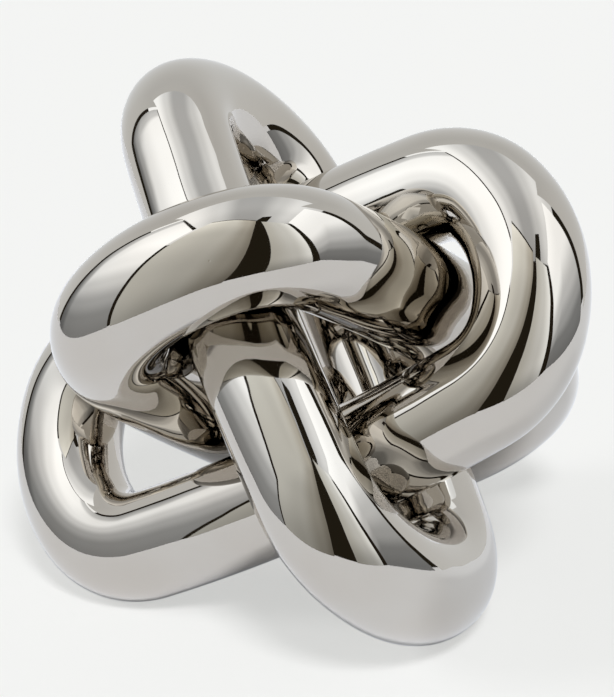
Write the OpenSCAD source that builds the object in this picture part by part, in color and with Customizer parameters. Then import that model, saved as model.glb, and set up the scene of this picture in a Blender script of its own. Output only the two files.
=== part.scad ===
// Chain sculpture: three closed ceramic links, each one passed through the next,
// that lean on each other and stand on three of their ends.
// Millimetres, +Z up. The origin lies on the table, under the middle of the
// bounding box. The front of the sculpture looks along -Y.

/* [Tube] */
// Outside diameter of the round tube that each link is made of
tube_d = 40; // [34:1:46]
// Thickness of the ceramic shell
wall = 5; // [3:0.5:8]

/* [Link outline] */
// Gap between two tubes that cross, when all the links stand square
side_play = 2.6; // [2.4:0.1:3.2]
// Free travel of a link each way along its own length, when all stand square
end_play = 15.5; // [13:0.5:20]
// How far the long sides bow out to their middle from where the far tube crosses
side_bow = 2.3; // [2.1:0.1:3]
// Radius of the corners of the opening
opening_corner_r = 11.5; // [9:0.5:14]
// Degrees that a rounded end turns each way from its middle to a corner
end_ang = 28.5; // [24:0.5:33]
// Degrees that a bowed side turns each way from its middle to a corner
side_ang = 6.2; // [5:0.1:7]

/* [Stance] */
// Degrees that the front link's raised end points to the left of the front
front_turn = 38; // [0:1:90]

/* [Feet and vents] */
// Depth ground off the end of each link where it stands on the table
foot_flat = 0.4; // [0.2:0.1:0.8]
// Diameter of the kiln vent under each link
vent_d = 5; // [3:0.5:6]
// Distance from the middle of the foot flat to the middle of the vent
vent_offset = 9; // [8:0.5:11]

/* [Hidden] */
NODES = ["upright_link", "right_link", "front_link"];
$fn = 96;

// Places of the three links in the lists below
UPRIGHT = 0;
RIGHT = 1;
FRONT = 2;
LINKS = [UPRIGHT, RIGHT, FRONT];

// The three links stand square to each other along the axes 0, 1 and 2 of the
// chain. Each row names the axis of a link's length, its width and its normal.
LINK_AXES = [[0, 1, 2], [2, 0, 1], [1, 2, 0]];
// Loose links come to rest a little off square. Each link has slid along its
// length by a share of end_play, leans about its length, width and normal by
// shares of the angle that side_play allows, and sits off the middle by shares
// of side_play along its width and its normal.
slide_shares = [0.42, -0.76, -0.62];
lean_shares = [[-0.15, 1.35, 0.60], [-0.40, 0.10, -0.95], [-0.45, -0.25, 0.05]];
offset_shares = [[0.05, -0.15], [-0.15, -0.10], [0.25, 0.00]];
// Rounds of the search for the three ends that touch the table
STAND_ROUNDS = 8;
// Coarse step of a shift that is made in two steps
STEP = 0.001;

// The centre line of a link is eight arcs that run smoothly into each other:
// two bowed sides, two ends and four corners.
tube_r = tube_d / 2;
corner_r = opening_corner_r + tube_r;
cross_dist = tube_d + side_play;
half_w = cross_dist + side_bow;
half_l = end_play + half_w + tube_d;

// The radii of the sides and the ends follow from the size of the outline and
// from the angles at which the corners meet them.
reach_x = half_l + corner_r * (sin(side_ang) - cos(end_ang));
reach_y = half_w + corner_r * (sin(end_ang) - cos(side_ang));
side_rise = 1 - cos(side_ang);
end_rise = 1 - cos(end_ang);
det = sin(side_ang) * sin(end_ang) - side_rise * end_rise;
side_r = (reach_x * sin(end_ang) - reach_y * end_rise) / det;
end_r = (reach_y * sin(side_ang) - reach_x * side_rise) / det;

// Centres of the arcs in the quarter where x and y are positive
side_mid = [0, half_w - side_r];
end_mid = [half_l - end_r, 0];
corner_mid = end_mid + (end_r - corner_r) * [cos(end_ang), sin(end_ang)];

// One overrun for all cuts, and a block that reaches past every link
overrun = tube_r / 4;
block = 4 * half_l;

function unit(v) = v / norm(v);
function turned_over(m) = [for (i = [0:2]) [for (j = [0:2]) m[j][i]]];
function turn_x(a) = [[1, 0, 0], [0, cos(a), -sin(a)], [0, sin(a), cos(a)]];
function turn_y(a) = [[cos(a), 0, sin(a)], [0, 1, 0], [-sin(a), 0, cos(a)]];
function turn_z(a) = [[cos(a), -sin(a), 0], [sin(a), cos(a), 0], [0, 0, 1]];

// Place of each link in the chain
play_ang = atan2(side_play, half_w);
function square_turn(i) =
    [for (r = [0:2]) [for (c = [0:2]) LINK_AXES[i][c] == r ? 1 : 0]];
function lean_turn(i) =
    turn_z(lean_shares[i][2] * play_ang)
    * turn_y(lean_shares[i][1] * play_ang)
    * turn_x(lean_shares[i][0] * play_ang);
function link_turn(i) = square_turn(i) * lean_turn(i);
function link_mid(i) =
    square_turn(i) * [0, offset_shares[i][0] * side_play, offset_shares[i][1] * side_play]
    + link_turn(i) * [slide_shares[i] * end_play, 0, 0];

// Point of a link's centre line that lies farthest in a direction
function outline_reach(d) =
    let (t = atan2(abs(d.y), abs(d.x)))
    let (on_end = t < end_ang, on_side = t > 90 - side_ang)
    let (m = on_end ? end_mid : on_side ? side_mid : corner_mid)
    let (r = on_end ? end_r : on_side ? side_r : corner_r)
    [sign(d.x) * (m.x + r * cos(t)), sign(d.y) * (m.y + r * sin(t)), 0];
function link_reach(i, d) =
    link_mid(i) + link_turn(i) * outline_reach(turned_over(link_turn(i)) * d);

// The table touches the lowest end of each link: the direction that is up is
// square to the plane through those three ends, which are looked for again
// each time it has changed.
function feet(up) = [for (i = LINKS) link_reach(i, -up)];
function feet_normal(p) = unit(cross(p[1] - p[0], p[2] - p[0]));
function stand(up, rounds) =
    rounds < 1 ? up
    : let (n = feet_normal(feet(up))) stand(n * up < 0 ? -n : n, rounds - 1);
up_axis = stand(unit([1, 1, 1]), STAND_ROUNDS);

// The chain turned to stand on the table with the front link's raised end
// front_turn to the left of the front
front_axis = [0, 1, 0];
back_dir = -unit(front_axis - (front_axis * up_axis) * up_axis);
stand_turn = turn_z(-front_turn) * [cross(back_dir, up_axis), back_dir, up_axis];
chain_feet = [for (p = feet(up_axis)) stand_turn * p];
function chain_reach(d) =
    max([for (i = LINKS) link_reach(i, turned_over(stand_turn) * d) * (turned_over(stand_turn) * d)]);
origin = [
    (chain_reach([1, 0, 0]) - chain_reach([-1, 0, 0])) / 2,
    (chain_reach([0, 1, 0]) - chain_reach([0, -1, 0])) / 2,
    chain_feet[UPRIGHT].z - tube_r + foot_flat
];
function place(i) = stand_turn * link_mid(i) - origin;
function angles(i) =
    let (m = stand_turn * link_turn(i))
    [atan2(m[2][1], m[2][2]), -asin(m[2][0]), atan2(m[1][0], m[0][0])];
function foot(i) = chain_feet[i] - origin;

// Numbers that a drawing of the sculpture would give
echo(link_length = 2 * (half_l + tube_r), link_width = 2 * (half_w + tube_r));
echo(side_r = side_r, end_r = end_r, corner_mid = corner_mid);
for (i = LINKS) {
    echo(NODES[i], place = place(i), angles = angles(i), foot = foot(i),
        length_dir = stand_turn * link_turn(i) * [1, 0, 0]);
}

// A shift in two steps, so that no digit is lost when the numbers are written out
module shift(v) {
    coarse = [for (c = v) round(c / STEP) * STEP];
    translate(coarse)
        translate(v - coarse)
            children();
}

// One arc of a round bar, bent to bend_r about a centre
module bar_arc(mid, bend_r, bar_r, from, to) {
    shift(mid)
        rotate_extrude(angle = to - from, start = from)
            shift([bend_r, 0])
                circle(r = bar_r);
}

// A closed round bar along a link's centre line
module ring_bar(bar_r) {
    for (half = [0, 180]) {
        rotate([0, 0, half]) {
            bar_arc(end_mid, end_r, bar_r, -end_ang, end_ang);
            bar_arc(corner_mid, corner_r, bar_r, end_ang, 90 - side_ang);
            bar_arc(side_mid, side_r, bar_r, 90 - side_ang, 90 + side_ang, $fn = 8 * $fn);
            bar_arc([-corner_mid.x, corner_mid.y], corner_r, bar_r, 90 + side_ang, 180 - end_ang);
        }
    }
}

// One hollow link in its place, with its foot ground flat and its vent
module link(i) {
    p = foot(i);
    inward = -unit([p.x, p.y]);
    difference() {
        translate(place(i))
            rotate(angles(i))
                difference() {
                    ring_bar(tube_r);
                    ring_bar(tube_r - wall);
                }
        translate([-block / 2, -block / 2, -block])
            cube(block);
        translate([p.x + inward.x * vent_offset, p.y + inward.y * vent_offset, -overrun])
            cylinder(h = tube_r + overrun, r = vent_d / 2);
    }
}

module upright_link() {
    color([0.80, 0.79, 0.77]) link(UPRIGHT);
}

module right_link() {
    color([0.76, 0.75, 0.73]) link(RIGHT);
}

module front_link() {
    color([0.84, 0.83, 0.81]) link(FRONT);
}

upright_link();
right_link();
front_link();
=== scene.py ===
"""Chain sculpture of mirror-glazed ceramic links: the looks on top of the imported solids."""

import math
from typing import NamedTuple

import bmesh
import bpy
import numpy as np
from mathutils import Matrix, Vector


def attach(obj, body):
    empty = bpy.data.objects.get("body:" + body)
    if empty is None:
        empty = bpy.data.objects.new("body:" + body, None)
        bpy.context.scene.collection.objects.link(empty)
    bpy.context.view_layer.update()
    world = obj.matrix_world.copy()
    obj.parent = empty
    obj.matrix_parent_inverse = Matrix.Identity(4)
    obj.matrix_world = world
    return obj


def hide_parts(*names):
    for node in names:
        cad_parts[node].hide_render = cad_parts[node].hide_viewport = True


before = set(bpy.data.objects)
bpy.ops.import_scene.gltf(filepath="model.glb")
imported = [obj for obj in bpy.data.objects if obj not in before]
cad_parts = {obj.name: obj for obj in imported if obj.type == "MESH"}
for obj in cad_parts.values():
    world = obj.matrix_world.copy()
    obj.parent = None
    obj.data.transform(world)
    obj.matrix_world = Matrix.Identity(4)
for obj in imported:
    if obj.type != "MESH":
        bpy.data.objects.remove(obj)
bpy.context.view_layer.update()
MM = 0.001


class Edge(NamedTuple):
    """An upright edge of a board, in millimetres.

    Its foot is at x and y on the table, and its top leans to the right by lean.
    """

    x: float
    y: float
    height: float
    lean: float = 0

    @property
    def foot(self):
        return self.x, self.y, 0

    @property
    def top(self):
        return self.x + self.lean, self.y, self.height


# A link's outline, as in the CAD source: the tube's radius, then the half width, the
# half length and the corner radius of its centre line, and how far the middle of an
# end and of a side turns to the corners
TUBE_R = 20 * MM
HALF_W = 44.9 * MM
HALF_L = 100.4 * MM
CORNER_R = 31.5 * MM
END_ANG = math.radians(28.5)
SIDE_ANG = math.radians(6.2)
# The kiln vent beside the ground flat
VENT_R = 2.5 * MM
VENT_OFFSET = 9 * MM
VENT_DEPTH = 5 * MM
# Faces along a link, around its tube and around its vent
RINGS = 440
AROUND = 112
AROUND_VENT = 48
# How much finer the centre line is sampled to find a link's lowest point
FOOT_SEARCH = 20
# A face is part of the ground flat when all of it is lower than this
FLAT_HEIGHT = 0.001 * MM
# Slots of a link's two materials
GLAZED = 0
BARE = 1

# Scales of patterns are numbers to the metre. The lustre has a warm and a cool tint,
# in clouds, and patches of least and most haze.
LUSTRE_WARM = (0.545, 0.50, 0.44)
LUSTRE_COOL = (0.575, 0.54, 0.485)
CLOUD_SCALE = 18
HAZE_LEAST = 0.02
HAZE_MOST = 0.05
HAZE_SCALE = 40
# Unevenness of the skin: the hand's waves, the ripples between them, the fine peel of
# the glaze, and pinholes
WAVE_SCALE = 22
WAVE_HEIGHT = 1.2 * MM
RIPPLE_SCALE = 55
RIPPLE_HEIGHT = 0.1 * MM
PEEL_SCALE = 260
PEEL_HEIGHT = 0.004 * MM
PINHOLE_SCALE = 45
PINHOLE_R = 0.45 * MM
PINHOLE_DEPTH = 0.06 * MM
# Bare clay of the ground flats and the vents
CLAY_DARK = (0.60, 0.54, 0.46)
CLAY_LIGHT = (0.76, 0.71, 0.63)
CLAY_ROUGHNESS = 0.85
GRAIN_SCALE = 900
GRAIN_HEIGHT = 0.1 * MM

# Tone of the background, and the shares of its brightness that a white floor gets from
# all sides, from the top lamp and from the left lamp
PALE = (0.904, 0.913, 0.896)
AMBIENT = 0.34
TOP_LIGHT = 0.66
LEFT_LIGHT = 0.20
# Floor for the camera: a grey that the light on it brings to the background's tone,
# and the share of that tone that is its own glow, which takes no shadow
FLOOR = 1 / (AMBIENT + TOP_LIGHT + LEFT_LIGHT)
FLOOR_GLOW_SHARE = 0.6
# Floor in the glaze: its colour with a painted cool tint of light, its glow and the glow's share
TABLE = (0.83, 0.865, 0.935)
TABLE_GLOW = (1.78, 1.87, 2.05)
TABLE_GLOW_SHARE = 0.05
FLOOR_SIZE = 6000

# Light of a white card, tint of the backdrop, and tone of what is unlit
CARD_LIGHT = (1.18, 1.245, 1.33)
WARM = (1.0, 0.975, 0.935)
DARK = (0.019, 0.015, 0.009)
# White boards round the table: left and right edge, as seen from outside. The camera
# looks through the slit between the front two.
LEFT_BOARD = (Edge(-575, 265, 1150), Edge(-214, -172, 540))
FRONT_LEFT_BOARD = (Edge(-206, -178, 700, lean=20), Edge(-12, -280, 650, lean=108))
FRONT_RIGHT_BOARD = (Edge(91, -292, 640, lean=43), Edge(310, -305, 600, lean=20))
RIGHT_BOARD = (Edge(400, -318, 700), Edge(640, 135, 1050))
# Widths of the dark seams between the left boards and the ceiling
LEFT_SEAM = 36
FRONT_LEFT_SEAM = 28
# Corners of the backdrop on the table, from its left end in the photograph to its right
BACKDROP = ((-590, 330), (-800, 900), (900, 900), (665, 225))
# Walls of the unlit room. Its floor lies a little over the table, from the front wall
# to these lines, some millimetres in front of the boards.
ROOM_LEFT = -950
ROOM_RIGHT = 1100
ROOM_FRONT = -600
ROOM_BACK = 950
UNLIT_FLOOR_LINES = {
    "dark_floor_left": ((ROOM_LEFT, 700), (-214, -180)),
    "dark_floor_front": ((-214, -184), (-12, -288)),
    "dark_floor_right": ((-12, -295), (ROOM_RIGHT, -335)),
}
UNLIT_FLOOR_RISE = 1
# The ceiling reaches this far to the sides and the front. Towards the back it ends at
# CEILING_BACK, where the backdrop's tone goes on over the table to BACKDROP_TOP_BACK.
CEILING = 1200
CEILING_REACH = 1600
CEILING_BACK = 560
BACKDROP_TOP_LEFT = -900
BACKDROP_TOP_RIGHT = 1000
BACKDROP_TOP_BACK = 900
# The slit between the front boards goes on as a dark gap, a little under the ceiling
CEILING_GAP = ((165, ROOM_FRONT), (380, ROOM_FRONT), (400, -330), (270, -360))
CEILING_GAP_DROP = 2

# The camera of the photograph: place in millimetres, turn about the upright axis,
# height angle and roll in degrees, focal length and sensor width
CAMERA_AT = (21.1, -795.5, 372.2)
CAMERA_TURN = 1.13
CAMERA_HEIGHT = 19.506
CAMERA_ROLL = -3.382
CAMERA_LENS = 121.68
CAMERA_SENSOR = 36


def outline_arcs():
    """The arcs of a link's centre line: centre x and y, radius, first and last angle."""
    # The radii of the sides and the ends follow from where they meet the corners
    end_rise = 1 - math.cos(END_ANG)
    side_rise = 1 - math.cos(SIDE_ANG)
    reach_x = HALF_L + CORNER_R * (math.sin(SIDE_ANG) - math.cos(END_ANG))
    reach_y = HALF_W + CORNER_R * (math.sin(END_ANG) - math.cos(SIDE_ANG))
    side_r, end_r = np.linalg.solve(
        [[math.sin(SIDE_ANG), end_rise], [side_rise, math.sin(END_ANG)]], (reach_x, reach_y)
    )
    end_x = HALF_L - end_r
    side_y = HALF_W - side_r
    corner_x = end_x + (end_r - CORNER_R) * math.cos(END_ANG)
    corner_y = (end_r - CORNER_R) * math.sin(END_ANG)
    corner_from = END_ANG
    corner_to = math.pi / 2 - SIDE_ANG
    one_half = [
        (end_x, 0, end_r, -corner_from, corner_from),
        (corner_x, corner_y, CORNER_R, corner_from, corner_to),
        (0, side_y, side_r, corner_to, math.pi - corner_to),
        (-corner_x, corner_y, CORNER_R, math.pi - corner_to, math.pi - corner_from),
    ]
    other_half = [(-x, -y, r, a + math.pi, b + math.pi) for x, y, r, a, b in one_half]
    return one_half + other_half


def centre_line(count):
    """Points and outward normals, evenly spaced along a link's closed centre line."""
    arcs = outline_arcs()
    lengths = np.array([r * (b - a) for _, _, r, a, b in arcs])
    starts = np.concatenate([[0], np.cumsum(lengths)])
    points = []
    normals = []
    for s in np.arange(count) * starts[-1] / count:
        k = int(np.searchsorted(starts, s, side="right")) - 1
        x, y, r, a, b = arcs[k]
        t = a + (b - a) * (s - starts[k]) / lengths[k]
        points.append((x + r * math.cos(t), y + r * math.sin(t), 0))
        normals.append((math.cos(t), math.sin(t), 0))
    return np.array(points), np.array(normals)


def link_pose(node):
    """Middle and axes of a link, from how the surface of its solid is spread.

    The spread is widest along the link, then across it, and least along its normal.
    """
    mesh = node.data
    mesh.calc_loop_triangles()
    points = np.array([node.matrix_world @ v.co for v in mesh.vertices])
    corners = points[[t.vertices[:] for t in mesh.loop_triangles]]
    sides = corners[:, 1:] - corners[:, :1]
    areas = np.linalg.norm(np.cross(sides[:, 0], sides[:, 1]), axis=1)
    middle = np.average(corners.mean(axis=1), axis=0, weights=areas)
    edge_mids = (corners + np.roll(corners, 1, axis=1)) / 2 - middle
    spread = np.einsum("t,tki,tkj->ij", areas, edge_mids, edge_mids)
    axes = np.linalg.eigh(spread)[1][:, ::-1]
    axes[:, 2] = np.cross(axes[:, 0], axes[:, 1])
    return middle, axes


def add_object(name, data):
    """A new object in the scene that shows a mesh, a lamp or a camera."""
    obj = bpy.data.objects.new(name, data)
    bpy.context.collection.objects.link(obj)
    return obj


def link_mesh(name, middle, axes):
    """A round tube along a link's centre line, cut off level at the table."""
    points, normals = centre_line(RINGS)
    around = np.arange(AROUND) * 2 * math.pi / AROUND
    outward = np.cos(around)[None, :, None] * normals[:, None, :]
    square = np.sin(around)[None, :, None] * np.array([0, 0, 1])
    verts = (points[:, None, :] + TUBE_R * (outward + square)).reshape(-1, 3) @ axes.T + middle
    verts[:, 2] = np.maximum(verts[:, 2], 0)
    i, j = np.meshgrid(np.arange(RINGS), np.arange(AROUND), indexing="ij")
    i2 = (i + 1) % RINGS
    j2 = (j + 1) % AROUND
    quads = np.stack([i * AROUND + j, i2 * AROUND + j, i2 * AROUND + j2, i * AROUND + j2], -1)
    mesh = bpy.data.meshes.new(name)
    mesh.from_pydata(verts.tolist(), [], quads.reshape(-1, 4).tolist())
    return mesh


def vent_cutter(middle, axes):
    """A round plug where the kiln vent goes into the underside of a link, inward of its foot."""
    fine_line = centre_line(FOOT_SEARCH * RINGS)[0] @ axes.T + middle
    lowest = fine_line[np.argmin(fine_line[:, 2])]
    foot = Vector((lowest[0], lowest[1], 0))
    spot = foot - foot.normalized() * VENT_OFFSET
    rise = TUBE_R - math.sqrt(TUBE_R**2 - VENT_OFFSET**2)
    mesh = bpy.data.meshes.new("vent_cutter")
    bm = bmesh.new()
    bmesh.ops.create_cone(
        bm,
        cap_ends=True,
        segments=AROUND_VENT,
        radius1=VENT_R,
        radius2=VENT_R,
        depth=2 * (rise + VENT_DEPTH),
    )
    bm.transform(Matrix.Translation(spot))
    bm.to_mesh(mesh)
    bm.free()
    return add_object("vent_cutter", mesh)


def cut_away(obj, cutter):
    """Takes the cutter out of obj and deletes it."""
    cut = obj.modifiers.new("cut", "BOOLEAN")
    cut.operation = "DIFFERENCE"
    cut.solver = "EXACT"
    cut.object = cutter
    bpy.context.view_layer.update()
    evaluated = obj.evaluated_get(bpy.context.evaluated_depsgraph_get())
    mesh = bpy.data.meshes.new_from_object(evaluated)
    obj.modifiers.clear()
    obj.data = mesh
    bpy.data.objects.remove(cutter)


def finish_faces(mesh):
    """The ground flat and the walls of the vent are bare clay, with a sharp rim to the glaze."""
    bm = bmesh.new()
    bm.from_mesh(mesh)
    for face in bm.faces:
        if all(v.co.z < FLAT_HEIGHT for v in face.verts):
            face.material_index = BARE
        face.smooth = face.material_index == GLAZED
    for edge in bm.edges:
        edge.smooth = len({f.material_index for f in edge.link_faces}) == 1
    bm.to_mesh(mesh)
    bm.free()


def build_link(name, glaze, clay):
    """One glazed link in the place of its solid, with its ground flat and its vent."""
    middle, axes = link_pose(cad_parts[name])
    piece = name + "_glazed"
    obj = add_object(piece, link_mesh(piece, middle, axes))
    cutter = vent_cutter(middle, axes)
    for mesh in (obj.data, cutter.data):
        mesh.materials.append(glaze)
        mesh.materials.append(clay)
    for face in cutter.data.polygons:
        face.material_index = BARE
    cut_away(obj, cutter)
    finish_faces(obj.data)
    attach(obj, name)
    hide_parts(name)


def new_material(name):
    """A material with its nodes, its links and its main shader."""
    mat = bpy.data.materials.new(name)
    mat.use_nodes = True
    nodes = mat.node_tree.nodes
    return mat, nodes, mat.node_tree.links, nodes["Principled BSDF"]


def noise(nodes, links, coords, scale, detail, roughness):
    tex = nodes.new("ShaderNodeTexNoise")
    tex.inputs["Scale"].default_value = scale
    tex.inputs["Detail"].default_value = detail
    tex.inputs["Roughness"].default_value = roughness
    links.new(coords, tex.inputs["Vector"])
    return tex.outputs["Fac"]


def as_colour(tone):
    """A tone as three numbers, also where it is one number for a grey."""
    return tone if isinstance(tone, tuple) else (tone, tone, tone)


def ramp(nodes, links, value, stops):
    """A smooth colour ramp through (position, tone) stops."""
    node = nodes.new("ShaderNodeValToRGB")
    node.color_ramp.interpolation = "EASE"
    elements = node.color_ramp.elements
    while len(elements) < len(stops):
        elements.new(1)
    for element, (position, tone) in zip(elements, stops):
        element.position = position
        element.color = (*as_colour(tone), 1)
    links.new(value, node.inputs["Fac"])
    return node.outputs["Color"]


def bump(nodes, links, height, distance, below=None):
    """A bump of this height map, on top of the bump below it."""
    node = nodes.new("ShaderNodeBump")
    node.inputs["Distance"].default_value = distance
    links.new(height, node.inputs["Height"])
    if below is not None:
        links.new(below, node.inputs["Normal"])
    return node.outputs["Normal"]


def glaze_material():
    """Platinum lustre over a glossy glaze: a warm mirror with a hand-made, slightly wavy skin."""
    mat, nodes, links, shader = new_material("lustre_glaze")
    coords = nodes.new("ShaderNodeTexCoord").outputs["Object"]
    shader.inputs["Metallic"].default_value = 1

    # Thin and thick patches of lustre differ a little in warmth and in haze
    clouds = noise(nodes, links, coords, CLOUD_SCALE, detail=3, roughness=0.5)
    tint = ramp(nodes, links, clouds, [(0.3, LUSTRE_WARM), (0.7, LUSTRE_COOL)])
    links.new(tint, shader.inputs["Base Color"])
    patches = noise(nodes, links, coords, HAZE_SCALE, detail=5, roughness=0.6)
    haze = ramp(nodes, links, patches, [(0.35, HAZE_LEAST), (0.75, HAZE_MOST)])
    links.new(haze, shader.inputs["Roughness"])

    normal = None
    for scale, height, detail in (
        (WAVE_SCALE, WAVE_HEIGHT, 1),
        (RIPPLE_SCALE, RIPPLE_HEIGHT, 1),
        (PEEL_SCALE, PEEL_HEIGHT, 2),
    ):
        unevenness = noise(nodes, links, coords, scale, detail, roughness=0.4)
        normal = bump(nodes, links, unevenness, height, normal)
    cells = nodes.new("ShaderNodeTexVoronoi")
    cells.inputs["Scale"].default_value = PINHOLE_SCALE
    links.new(coords, cells.inputs["Vector"])
    rim = PINHOLE_R * PINHOLE_SCALE
    pinholes = ramp(nodes, links, cells.outputs["Distance"], [(0, 0), (rim, 1)])
    links.new(bump(nodes, links, pinholes, PINHOLE_DEPTH, normal), shader.inputs["Normal"])
    return mat


def clay_material():
    """Bare fired clay: matt and grainy."""
    mat, nodes, links, shader = new_material("bare_clay")
    coords = nodes.new("ShaderNodeTexCoord").outputs["Object"]
    grain = noise(nodes, links, coords, GRAIN_SCALE, detail=4, roughness=0.7)
    tint = ramp(nodes, links, grain, [(0.3, CLAY_DARK), (0.7, CLAY_LIGHT)])
    links.new(tint, shader.inputs["Base Color"])
    links.new(bump(nodes, links, grain, GRAIN_HEIGHT), shader.inputs["Normal"])
    shader.inputs["Roughness"].default_value = CLAY_ROUGHNESS
    return mat


def level_corners(left, right, front, back, height):
    """Corners of a level rectangle, from the front left round."""
    return [
        (left, front, height),
        (right, front, height),
        (right, back, height),
        (left, back, height),
    ]


def sheet(name, corners, mat):
    """A flat stage piece through four corners in millimetres, from the bottom left round."""
    mesh = bpy.data.meshes.new(name)
    mesh.from_pydata([Vector(c) * MM for c in corners], [], [(0, 1, 2, 3)])
    uv = mesh.uv_layers.new(name="across_up")
    for loop, spot in zip(uv.data, ((0, 0), (1, 0), (1, 1), (0, 1))):
        loop.uv = spot
    mesh.materials.append(mat)
    obj = add_object(name, mesh)
    return obj


def even(tone):
    """Stops of a ramp that has one tone all over."""
    return [(0, tone), (1, tone)]


def card(name, corners, up, across):
    """A sheet that glows by the product of two ramps and is seen in the glaze alone.

    The stops in up run from its first two corners to its last two, and those in across
    run from left to right. Tones are shares of CARD_LIGHT.
    """
    mat = bpy.data.materials.new(name)
    mat.use_nodes = True
    nodes, links = mat.node_tree.nodes, mat.node_tree.links
    nodes.clear()
    split = nodes.new("ShaderNodeSeparateXYZ")
    links.new(nodes.new("ShaderNodeTexCoord").outputs["UV"], split.inputs[0])
    lit_across = [
        (position, tuple(c * light for c, light in zip(as_colour(tone), CARD_LIGHT)))
        for position, tone in across
    ]
    product = nodes.new("ShaderNodeMix")
    product.data_type = "RGBA"
    product.blend_type = "MULTIPLY"
    product.inputs["Factor"].default_value = 1
    links.new(ramp(nodes, links, split.outputs["Y"], up), product.inputs["A"])
    links.new(ramp(nodes, links, split.outputs["X"], lit_across), product.inputs["B"])
    glow = nodes.new("ShaderNodeEmission")
    links.new(product.outputs["Result"], glow.inputs["Color"])
    out = nodes.new("ShaderNodeOutputMaterial")
    links.new(glow.outputs[0], out.inputs["Surface"])
    obj = sheet(name, corners, mat)
    obj.visible_camera = False
    obj.visible_diffuse = False
    obj.visible_shadow = False


def unlit_card(name, corners):
    card(name, corners, up=even(DARK), across=even(1))


def board(name, left, right, up, across):
    """A card that stands on the table between two edges."""
    card(name, [left.foot, right.foot, right.top, left.top], up, across)


def seam(name, left, right, width):
    """An unlit strip on top of the board between two edges."""
    over_left = (*left.top[:2], left.height + width)
    over_right = (*right.top[:2], right.height + width)
    unlit_card(name, [left.top, right.top, over_right, over_left])


def build_boards():
    """The white boards, each with its own fall of light, and the seams over the left two."""
    board(
        "left_board",
        *LEFT_BOARD,
        up=[(0, 0.25), (0.14, 0.29), (0.25, 0.45), (0.37, 0.78), (0.5, 1.15), (0.75, 1.4)],
        across=[(0, 0.5), (0.28, 0.62), (0.45, 1.0), (1, 1.15)],
    )
    board(
        "front_left_board",
        *FRONT_LEFT_BOARD,
        up=[(0, 0.5), (0.25, 0.75), (0.5, 0.95), (0.8, 1.25), (1, 1.45)],
        across=[
            (0, (0.87, 0.85, 0.78)),
            (0.5, (0.70, 0.68, 0.62)),
            (0.8, (0.48, 0.45, 0.39)),
            (1, (0.33, 0.30, 0.25)),
        ],
    )
    board(
        "front_right_board",
        *FRONT_RIGHT_BOARD,
        up=[(0, 0.5), (0.2, 0.85), (0.6, 1.0)],
        across=[(0, (0.66, 0.64, 0.58)), (0.5, (0.82, 0.81, 0.77)), (1, (1.2, 1.2, 1.17))],
    )
    board(
        "right_board",
        *RIGHT_BOARD,
        up=[(0, 0.2), (0.1, 0.25), (0.17, 0.45), (0.26, 0.7), (0.48, 1.3), (1, 1.5)],
        across=even(1),
    )
    seam("left_seam", *LEFT_BOARD, LEFT_SEAM)
    seam("front_left_seam", *FRONT_LEFT_BOARD, FRONT_LEFT_SEAM)


def build_backdrop():
    """A grey backdrop behind the table, and its tone on the ceiling over it."""
    names = ("backdrop_left", "backdrop", "backdrop_right")
    for name, right, left in zip(names, BACKDROP, BACKDROP[1:]):
        board(
            name,
            Edge(*left, CEILING),
            Edge(*right, CEILING),
            up=[(0, 0.68), (0.3, 0.66), (1, 0.6)],
            across=even(WARM),
        )
    card(
        "backdrop_top",
        level_corners(
            BACKDROP_TOP_LEFT, BACKDROP_TOP_RIGHT, CEILING_BACK, BACKDROP_TOP_BACK, CEILING
        ),
        up=[(0, 0.62), (1, 0.6)],
        across=even(WARM),
    )


def build_dark_room():
    """The unlit room in front of the boards: its walls, its floor and a gap in the ceiling."""
    for name, left, right in (
        ("dark_room_left", (ROOM_LEFT, ROOM_BACK), (ROOM_LEFT, ROOM_FRONT)),
        ("dark_room_front", (ROOM_LEFT, ROOM_FRONT), (ROOM_RIGHT, ROOM_FRONT)),
        ("dark_room_right", (ROOM_RIGHT, ROOM_FRONT), (ROOM_RIGHT, ROOM_BACK)),
    ):
        unlit_card(name, [(*left, 0), (*right, 0), (*right, CEILING), (*left, CEILING)])
    for name, (left, right) in UNLIT_FLOOR_LINES.items():
        outline = [(left[0], ROOM_FRONT), (right[0], ROOM_FRONT), right, left]
        unlit_card(name, [(*spot, UNLIT_FLOOR_RISE) for spot in outline])
    unlit_card("ceiling_gap", [(*spot, CEILING - CEILING_GAP_DROP) for spot in CEILING_GAP])


def build_ceiling():
    """A ceiling with a wide glow on the left and a narrower one on the right."""
    card(
        "ceiling",
        level_corners(-CEILING_REACH, CEILING_REACH, -CEILING_REACH, CEILING_BACK, CEILING),
        up=[(0, 0.65), (0.43, 0.72), (0.6, 0.87), (0.78, 1.0), (1, 0.95)],
        across=[
            (0, 0.9),
            (0.15, 1.35),
            (0.33, 1.4),
            (0.41, 1.0),
            (0.48, 0.6),
            (0.55, 0.6),
            (0.62, 0.88),
            (0.70, 1.15),
            (0.80, 0.95),
            (1, 0.6),
        ],
    )


def by_ray(nodes, links, in_glaze, for_camera):
    """One tone for the rays of the camera and another for the rest."""
    path = nodes.new("ShaderNodeLightPath")
    tone = nodes.new("ShaderNodeMix")
    tone.data_type = "RGBA"
    tone.inputs["A"].default_value = (*as_colour(in_glaze), 1)
    tone.inputs["B"].default_value = (*as_colour(for_camera), 1)
    links.new(path.outputs["Is Camera Ray"], tone.inputs["Factor"])
    return tone.outputs["Result"]


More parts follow.
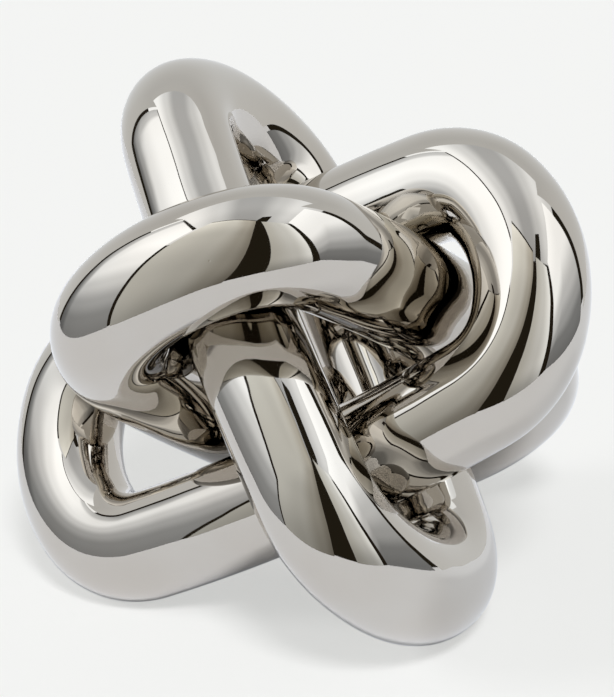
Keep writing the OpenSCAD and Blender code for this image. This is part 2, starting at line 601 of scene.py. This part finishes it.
def floor_material():
    """White for the camera, with the object's shadow at part strength; in the glaze, painted cool
    light.
    """
    mat, nodes, links, shader = new_material("pale_floor")
    shader.inputs["Roughness"].default_value = 1
    shader.inputs["Specular IOR Level"].default_value = 0
    links.new(by_ray(nodes, links, TABLE, FLOOR), shader.inputs["Base Color"])
    glow = nodes.new("ShaderNodeEmission")
    links.new(by_ray(nodes, links, TABLE_GLOW, PALE), glow.inputs["Color"])
    both = nodes.new("ShaderNodeMixShader")
    links.new(by_ray(nodes, links, TABLE_GLOW_SHARE, FLOOR_GLOW_SHARE), both.inputs[0])
    links.new(shader.outputs[0], both.inputs[1])
    links.new(glow.outputs[0], both.inputs[2])
    links.new(both.outputs[0], nodes["Material Output"].inputs["Surface"])
    return mat


def build_floor():
    """The table top, which reaches far past the view."""
    reach = FLOOR_SIZE / 2
    sheet("floor", level_corners(-reach, reach, -reach, reach, 0), floor_material())


def pale_world():
    """A pale background for the camera and the mirror, which lights the floor a little."""
    world = bpy.data.worlds.new("studio")
    bpy.context.scene.world = world
    world.use_nodes = True
    nodes, links = world.node_tree.nodes, world.node_tree.links
    background = nodes["Background"]
    background.inputs["Color"].default_value = (*PALE, 1)
    path = nodes.new("ShaderNodeLightPath")
    seen = path.outputs["Is Camera Ray"]
    for ray in ("Is Glossy Ray", "Is Transmission Ray"):
        either = nodes.new("ShaderNodeMath")
        either.operation = "MAXIMUM"
        links.new(seen, either.inputs[0])
        links.new(path.outputs[ray], either.inputs[1])
        seen = either.outputs[0]
    level = nodes.new("ShaderNodeMapRange")
    level.inputs["To Min"].default_value = AMBIENT
    links.new(seen, level.inputs["Value"])
    links.new(level.outputs[0], background.inputs["Strength"])


def sun(name, towards, spread, share):
    """A far lamp, spread degrees wide, that the glaze doesn't show.

    It gives a level white floor this share of the background's brightness.
    """
    towards = Vector(towards).normalized()
    lamp = bpy.data.lights.new(name, "SUN")
    lamp.energy = share * PALE[0] * math.pi / towards.z
    lamp.angle = math.radians(spread)
    obj = add_object(name, lamp)
    obj.visible_glossy = False
    obj.matrix_world = towards.to_track_quat("Z", "Y").to_matrix().to_4x4()


def photo_camera():
    """The camera in the photograph's place, and the plain view transform."""
    camera = bpy.data.cameras.new("camera")
    camera.lens = CAMERA_LENS
    camera.sensor_width = CAMERA_SENSOR
    camera.clip_start = 0.01
    camera.clip_end = 20
    obj = add_object("camera", camera)
    turn = Matrix.Rotation(math.radians(CAMERA_TURN), 4, "Z")
    tilt = Matrix.Rotation(math.radians(90 - CAMERA_HEIGHT), 4, "X")
    roll = Matrix.Rotation(math.radians(CAMERA_ROLL), 4, "Z")
    obj.matrix_world = Matrix.Translation(Vector(CAMERA_AT) * MM) @ turn @ tilt @ roll
    bpy.context.scene.camera = obj
    bpy.context.scene.view_settings.view_transform = "Standard"


glaze = glaze_material()
clay = clay_material()
for name in ("upright_link", "right_link", "front_link"):
    build_link(name, glaze, clay)

build_boards()
build_backdrop()
build_dark_room()
build_ceiling()
build_floor()
pale_world()
sun("top_light", towards=(0.2, -0.85, 1), spread=14, share=TOP_LIGHT)
sun("left_light", towards=(-1.0, -0.1, 0.6), spread=24, share=LEFT_LIGHT)
photo_camera()
